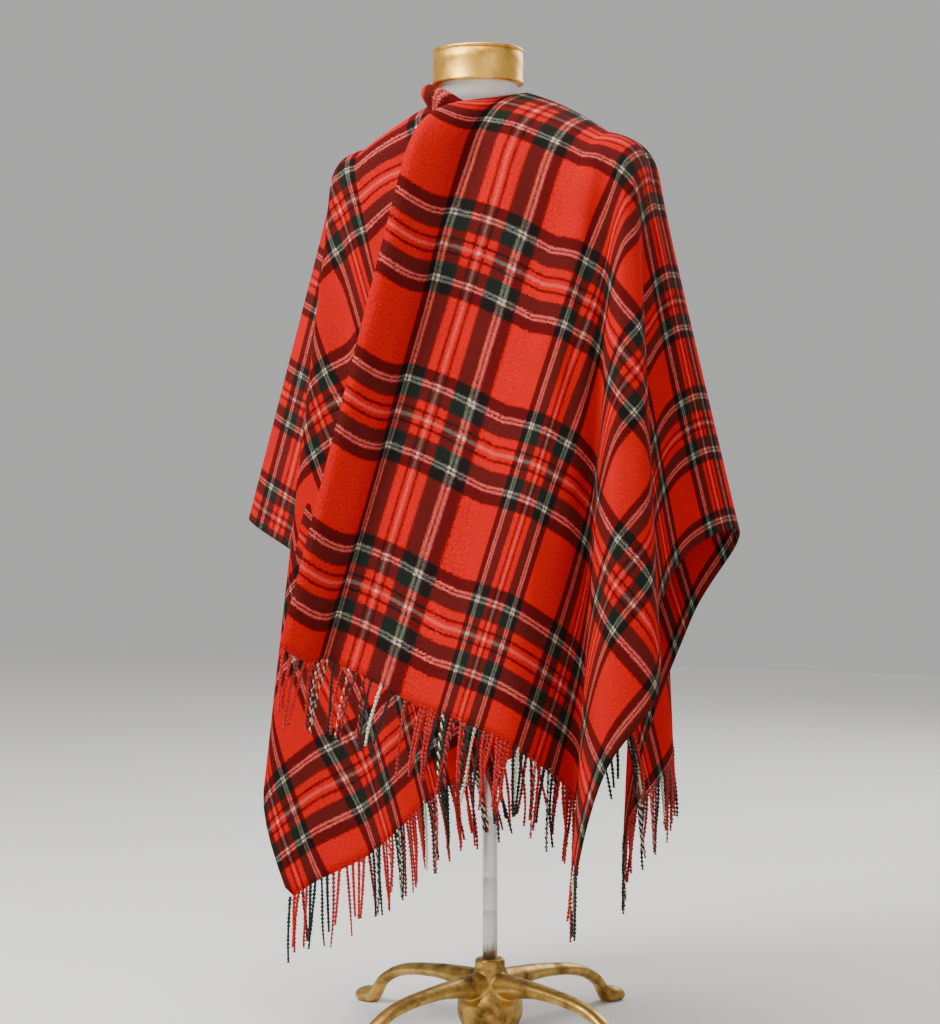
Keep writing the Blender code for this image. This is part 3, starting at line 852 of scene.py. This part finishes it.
# %% [markdown]
# ## The dress form
# The form is a padded shell under a stretched cotton cover, with no limbs. Most of it is hidden, but the neck
# shows above the cloth and the lower edge shows from below. It is turned through the same rows as its solid,
# with more of them, so its outline is round.

# %% Make the form and its cover
FORM_RINGS = 120
FORM_SIDES = 96
# Between these heights the cloth lies close, and the form is drawn this much slimmer to stay under it.
CLOSE_FROM, CLOSE_TO = 1.24, 1.29
CLOSE_INSET = 0.0012


def turned(name, rings, sides, material):
    """A closed body through rings of (height, half width, half depth, middle)."""
    points, faces = [], []
    for height, wide, deep, middle in rings:
        for k in range(sides):
            angle = 2 * math.pi * k / sides
            points.append(Vector((wide * math.cos(angle), middle + deep * math.sin(angle), height)))
    for r in range(len(rings) - 1):
        for k in range(sides):
            a, b = r * sides + k, r * sides + (k + 1) % sides
            faces.append((a, b, b + sides, a + sides))
    faces.append(tuple(reversed(range(sides))))
    last = (len(rings) - 1) * sides
    faces.append(tuple(range(last, last + sides)))
    return make_object(name, points, faces, material)


def make_cover():
    """Cotton jersey: a fine rib of loops about 1.2 mm apart, off-white, matt."""
    material, tree, shader = new_material("cotton_jersey", 0.88)
    position = add(tree, "TexCoord", {}, {}).outputs["Object"]
    stains = add(tree, "TexNoise", {}, {"Vector": position, "Scale": 9.0, "Detail": 4.0})
    colour = add(tree, "Mix", {"data_type": "RGBA"},
                 {0: stains.outputs["Fac"], 6: linear("#f4f2ec"), 7: linear("#e6e1d5")})
    tree.links.new(colour.outputs[2], shader.inputs["Base Color"])
    ribs = add(tree, "TexWave", {"bands_direction": "Z"},
               {"Vector": position, "Scale": 260.0, "Distortion": 1.0})
    bump = add(tree, "Bump", {}, {"Height": ribs.outputs["Fac"], "Distance": 0.0004, "Strength": 0.3})
    tree.links.new(bump.outputs["Normal"], shader.inputs["Normal"])
    shader.inputs["Sheen Weight"].default_value = 0.1
    return material


low, high = FORM[0][0], FORM[-1][0]
form_rings = []
for i in range(FORM_RINGS + 1):
    z = low + (high - low) * i / FORM_RINGS
    tight = CLOSE_INSET if CLOSE_FROM < z < CLOSE_TO else 0.0
    form_rings.append((z, FORM_WIDTH(z) - tight, FORM_DEPTH(z) - tight, FORM_MIDDLE(z)))
FORM_BODY = turned("form_body", form_rings, FORM_SIDES, make_cover())
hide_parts("dress_form")
print("form rings:", len(form_rings))

# %% [markdown]
# ## The neck cap
# A spun brass cap closes the neck. Spinning leaves a rolled bead at the top edge and fine rings round the
# side, and years of handling leave it darker in patches. A metal keeps the default index of refraction.

# %% Make the neck cap
CAP_MIDDLE_Y = -0.040
CAP_BOTTOM = 1.3183
CAP_HEIGHT = 0.048
CAP_RADIUS = 0.0640
CAP_ROUND = 0.94
BEAD_RADIUS = 0.0026
BEAD_STEPS = 8


def make_brass():
    """Spun brass: a satin gold with fine rings, browner and duller where it has been handled."""
    material, tree, shader = new_material("spun_brass", 0.34, 1.0)
    position = add(tree, "TexCoord", {}, {}).outputs["Object"]
    stretched = add(tree, "Mapping", {}, {"Vector": position, "Scale": (6.0, 6.0, 500.0)})
    rings = add(tree, "TexNoise", {}, {"Vector": stretched.outputs[0], "Scale": 1.0, "Detail": 3.0})
    patches = add(tree, "TexNoise", {}, {"Vector": position, "Scale": 32.0, "Detail": 6.0, "Roughness": 0.7})
    amount = add(tree, "MapRange", {}, {"Value": patches.outputs["Fac"], "From Min": 0.45, "From Max": 0.75})
    colour = add(tree, "Mix", {"data_type": "RGBA"},
                 {0: amount.outputs[0], 6: linear("#f7bf58"), 7: linear("#9c6824")})
    tree.links.new(colour.outputs[2], shader.inputs["Base Color"])
    rough = add(tree, "MapRange", {}, {"Value": patches.outputs["Fac"], "To Min": 0.28, "To Max": 0.55})
    tree.links.new(rough.outputs[0], shader.inputs["Roughness"])
    bump = add(tree, "Bump", {}, {"Height": rings.outputs["Fac"], "Distance": 0.0003, "Strength": 0.3})
    tree.links.new(bump.outputs["Normal"], shader.inputs["Normal"])
    return material


def cap_rings():
    """Up the side, round the bead and over a slightly sunk top."""
    rows = [(0.0, 0.0), (0.0015, 0.0006), (0.030, 0.0006), (CAP_HEIGHT - 0.0062, 0.0010)]
    for i in range(BEAD_STEPS + 1):
        angle = math.radians(-90 + 180 * i / BEAD_STEPS)
        up = CAP_HEIGHT - BEAD_RADIUS + BEAD_RADIUS * math.sin(angle)
        rows.append((up, BEAD_RADIUS - BEAD_RADIUS * math.cos(angle)))
    rows += [(CAP_HEIGHT - 0.0012, 0.0050), (CAP_HEIGHT - 0.0012, 0.030), (CAP_HEIGHT - 0.0006, 0.060)]
    return [(CAP_BOTTOM + up, CAP_RADIUS - inset, (CAP_RADIUS - inset) * CAP_ROUND, CAP_MIDDLE_Y)
            for up, inset in rows]


CAP = turned("neck_cap_spun", cap_rings(), 128, make_brass())
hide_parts("neck_cap")
print("cap rings:", len(cap_rings()))

# %% [markdown]
# ## The pole
# The pole is a drawn steel tube that slides in the hub. Drawing leaves it satin, with faint rings where the
# height was set before. It is turned from a few rings, with a shallow groove at each old setting.

# %% Make the pole
POLE_RADIUS = 0.0105
POLE_BOTTOM = 0.1003
POLE_TOP = 0.6397
OLD_SETTINGS = (0.132, 0.168, 0.214, 0.300, 0.380)
GROOVE_HALF = 0.0010
GROOVE_DEPTH = 0.00015


def make_steel():
    """Drawn steel: a satin grey with fine streaks along the tube."""
    material, tree, shader = new_material("drawn_steel", 0.38, 1.0)
    position = add(tree, "TexCoord", {}, {}).outputs["Object"]
    stretched = add(tree, "Mapping", {}, {"Vector": position, "Scale": (900.0, 900.0, 8.0)})
    streaks = add(tree, "TexNoise", {}, {"Vector": stretched.outputs[0], "Scale": 1.0, "Detail": 2.0})
    colour = add(tree, "Mix", {"data_type": "RGBA"},
                 {0: streaks.outputs["Fac"], 6: linear("#dedad2"), 7: linear("#b4afa6")})
    tree.links.new(colour.outputs[2], shader.inputs["Base Color"])
    bump = add(tree, "Bump", {}, {"Height": streaks.outputs["Fac"], "Distance": 0.0001, "Strength": 0.2})
    tree.links.new(bump.outputs["Normal"], shader.inputs["Normal"])
    return material


def pole_rings():
    """Up the tube, with a shallow groove at each old setting."""
    rings = [(POLE_BOTTOM, POLE_RADIUS)]
    for height in OLD_SETTINGS:
        rings.append((height - GROOVE_HALF, POLE_RADIUS))
        rings.append((height, POLE_RADIUS - GROOVE_DEPTH))
        rings.append((height + GROOVE_HALF, POLE_RADIUS))
    rings.append((POLE_TOP, POLE_RADIUS))
    return [(z, r, r, 0.0) for z, r in rings]


POLE = turned("pole_tube", pole_rings(), 64, make_steel())
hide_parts("pole")
print("pole rings:", len(pole_rings()))

# %% [markdown]
# ## The base
# The hub and its four legs are one iron casting, painted gilt. A casting has no sharp inner corners, so the
# legs and hub are made as closed shapes that run into each other. A voxel remesh turns them into one skin.
# A few rounds of smoothing give the fillets that the sand mould leaves.

# %% Make the base
HUB_RINGS = (
    # height, radius
    (0.000, 0.0368),
    (0.022, 0.0460),
    (0.040, 0.0460),
    (0.067, 0.0285),
    (0.088, 0.0213),
    (0.097, 0.0213),
    (0.100, 0.0190),
)
LEG_REACH = 0.262
LEG_ROWS = (
    # reach, middle height, half width, half height
    (0.020, 0.062, 0.020, 0.020),
    (0.060, 0.066, 0.017, 0.014),
    (0.110, 0.066, 0.014, 0.010),
    (0.180, 0.056, 0.012, 0.009),
    (0.220, 0.036, 0.012, 0.010),
    (LEG_REACH - 0.022, 0.012, 0.014, 0.014),
    (LEG_REACH, 0.008, 0.016, 0.012),
    (LEG_REACH + 0.010, 0.007, 0.012, 0.009),
)
LEG_ANGLES = (-20.0, 70.0, 160.0, 250.0)
LEG_STEPS = 60
CASTING_SIDES = 48
CASTING_VOXEL = 0.0016


def make_gilt():
    """Gilt paint over iron, rubbed through to brown in random patches."""
    material, tree, shader = new_material("gilt_cast_iron", 0.42, 1.0)
    position = add(tree, "TexCoord", {}, {}).outputs["Object"]
    patches = add(tree, "TexNoise", {}, {"Vector": position, "Scale": 26.0, "Detail": 8.0, "Roughness": 0.65})
    amount = add(tree, "MapRange", {}, {"Value": patches.outputs["Fac"], "From Min": 0.42, "From Max": 0.66})
    colour = add(tree, "Mix", {"data_type": "RGBA"},
                 {0: amount.outputs[0], 6: linear("#c9a256"), 7: linear("#6b4a24")})
    tree.links.new(colour.outputs[2], shader.inputs["Base Color"])
    rough = add(tree, "MapRange", {}, {"Value": amount.outputs[0], "To Min": 0.34, "To Max": 0.62})
    tree.links.new(rough.outputs[0], shader.inputs["Roughness"])
    grain = add(tree, "TexNoise", {}, {"Vector": position, "Scale": 420.0, "Detail": 3.0})
    bump = add(tree, "Bump", {}, {"Height": grain.outputs["Fac"], "Distance": 0.0006, "Strength": 0.5})
    tree.links.new(bump.outputs["Normal"], shader.inputs["Normal"])
    return material


def make_base():
    """Hub and legs as closed tubes, joined by a remesh and softened."""
    points, faces = [], []
    sides = CASTING_SIDES

    def add_tube(rings):
        first = len(points)
        for ring in rings:
            points.extend(ring)
        for r in range(len(rings) - 1):
            for k in range(sides):
                a, b = first + r * sides + k, first + r * sides + (k + 1) % sides
                faces.append((a, b, b + sides, a + sides))
        faces.append(tuple(reversed(range(first, first + sides))))
        faces.append(tuple(range(len(points) - sides, len(points))))

    circle = [(math.cos(2 * math.pi * k / sides), math.sin(2 * math.pi * k / sides)) for k in range(sides)]
    add_tube([[Vector((r * x, r * y, z)) for x, y in circle] for z, r in HUB_RINGS])
    middle, wide, tall = (through_rows(LEG_ROWS, column) for column in (1, 2, 3))
    first_reach, last_reach = LEG_ROWS[0][0], LEG_ROWS[-1][0]
    for degrees in LEG_ANGLES:
        turn_x, turn_y = math.cos(math.radians(degrees)), math.sin(math.radians(degrees))
        rings = []
        for i in range(LEG_STEPS + 1):
            reach = first_reach + (last_reach - first_reach) * i / LEG_STEPS
            ring = []
            for x, y in circle:
                aside = wide(reach) * x
                height = max(0.0, middle(reach) + tall(reach) * y)
                along_x = reach * turn_x - aside * turn_y
                along_y = reach * turn_y + aside * turn_x
                ring.append(Vector((along_x, along_y, height)))
            rings.append(ring)
        add_tube(rings)
    base = make_object("base_casting", points, faces, make_gilt())
    shape = bmesh.new()
    shape.from_mesh(base.data)
    bmesh.ops.recalc_face_normals(shape, faces=shape.faces)
    shape.to_mesh(base.data)
    shape.free()
    remesh = base.modifiers.new("one skin", "REMESH")
    remesh.mode = "VOXEL"
    remesh.voxel_size = CASTING_VOXEL
    remesh.use_smooth_shade = True
    fillets = base.modifiers.new("fillets", "SMOOTH")
    fillets.factor = 0.5
    fillets.iterations = 6
    return base


BASE = make_base()
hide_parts("base")
print("legs:", len(LEG_ANGLES))

# %% [markdown]
# ## Floor and light
# The photo is a cut-out on white, lit evenly. A pale floor and sky, with one large soft light from the upper
# left of the picture and three weaker ones, keep the shadows in the folds without dark edges.

# %% Make the floor and the lights
FLOOR_HALF = 6.0
FLOOR_DROP = 0.0005
SKY_STRENGTH = 0.50


def make_floor():
    """Painted board, matt and pale, with a mottle too faint to draw the eye."""
    material, tree, shader = new_material("pale_floor", 0.8)
    position = add(tree, "TexCoord", {}, {}).outputs["Object"]
    mottle = add(tree, "TexNoise", {}, {"Vector": position, "Scale": 3.0, "Detail": 5.0})
    colour = add(tree, "Mix", {"data_type": "RGBA"},
                 {0: mottle.outputs["Fac"], 6: linear("#f3f2ef"), 7: linear("#efeeea")})
    tree.links.new(colour.outputs[2], shader.inputs["Base Color"])
    corners = [(-FLOOR_HALF, -FLOOR_HALF, 0), (FLOOR_HALF, -FLOOR_HALF, 0), (FLOOR_HALF, FLOOR_HALF, 0),
               (-FLOOR_HALF, FLOOR_HALF, 0)]
    mesh = bpy.data.meshes.new("floor")
    mesh.from_pydata(corners, [], [(0, 1, 2, 3)])
    mesh.materials.append(material)
    floor = bpy.data.objects.new("floor", mesh)
    floor.location.z = -FLOOR_DROP
    bpy.context.scene.collection.objects.link(floor)


LIGHTS = (
    # name, place, size, watts
    ("key", (-1.4, -2.1, 3.3), 1.5, 165),
    ("fill", (2.8, -2.4, 1.9), 2.2, 18),
    ("back", (0.6, 3.2, 2.6), 2.2, 65),
    ("top", (0.1, -0.6, 3.6), 1.6, 55),
)


def make_lights():
    """Soft area lights, all aimed at the middle of the cloth, and an even sky."""
    aim = Vector((0, 0, 0.8))
    for name, place, size, watts in LIGHTS:
        light = bpy.data.objects.new(name, bpy.data.lights.new(name, "AREA"))
        light.data.size = size
        light.data.energy = watts
        light.location = place
        light.rotation_euler = (aim - light.location).to_track_quat("-Z", "Y").to_euler()
        bpy.context.scene.collection.objects.link(light)
    world = bpy.data.worlds.new("studio")
    bpy.context.scene.world = world
    world.use_nodes = True
    world.node_tree.nodes["Background"].inputs["Color"].default_value = linear("#f7f7f6")
    world.node_tree.nodes["Background"].inputs["Strength"].default_value = SKY_STRENGTH


make_floor()
make_lights()
print("lights:", len(LIGHTS))
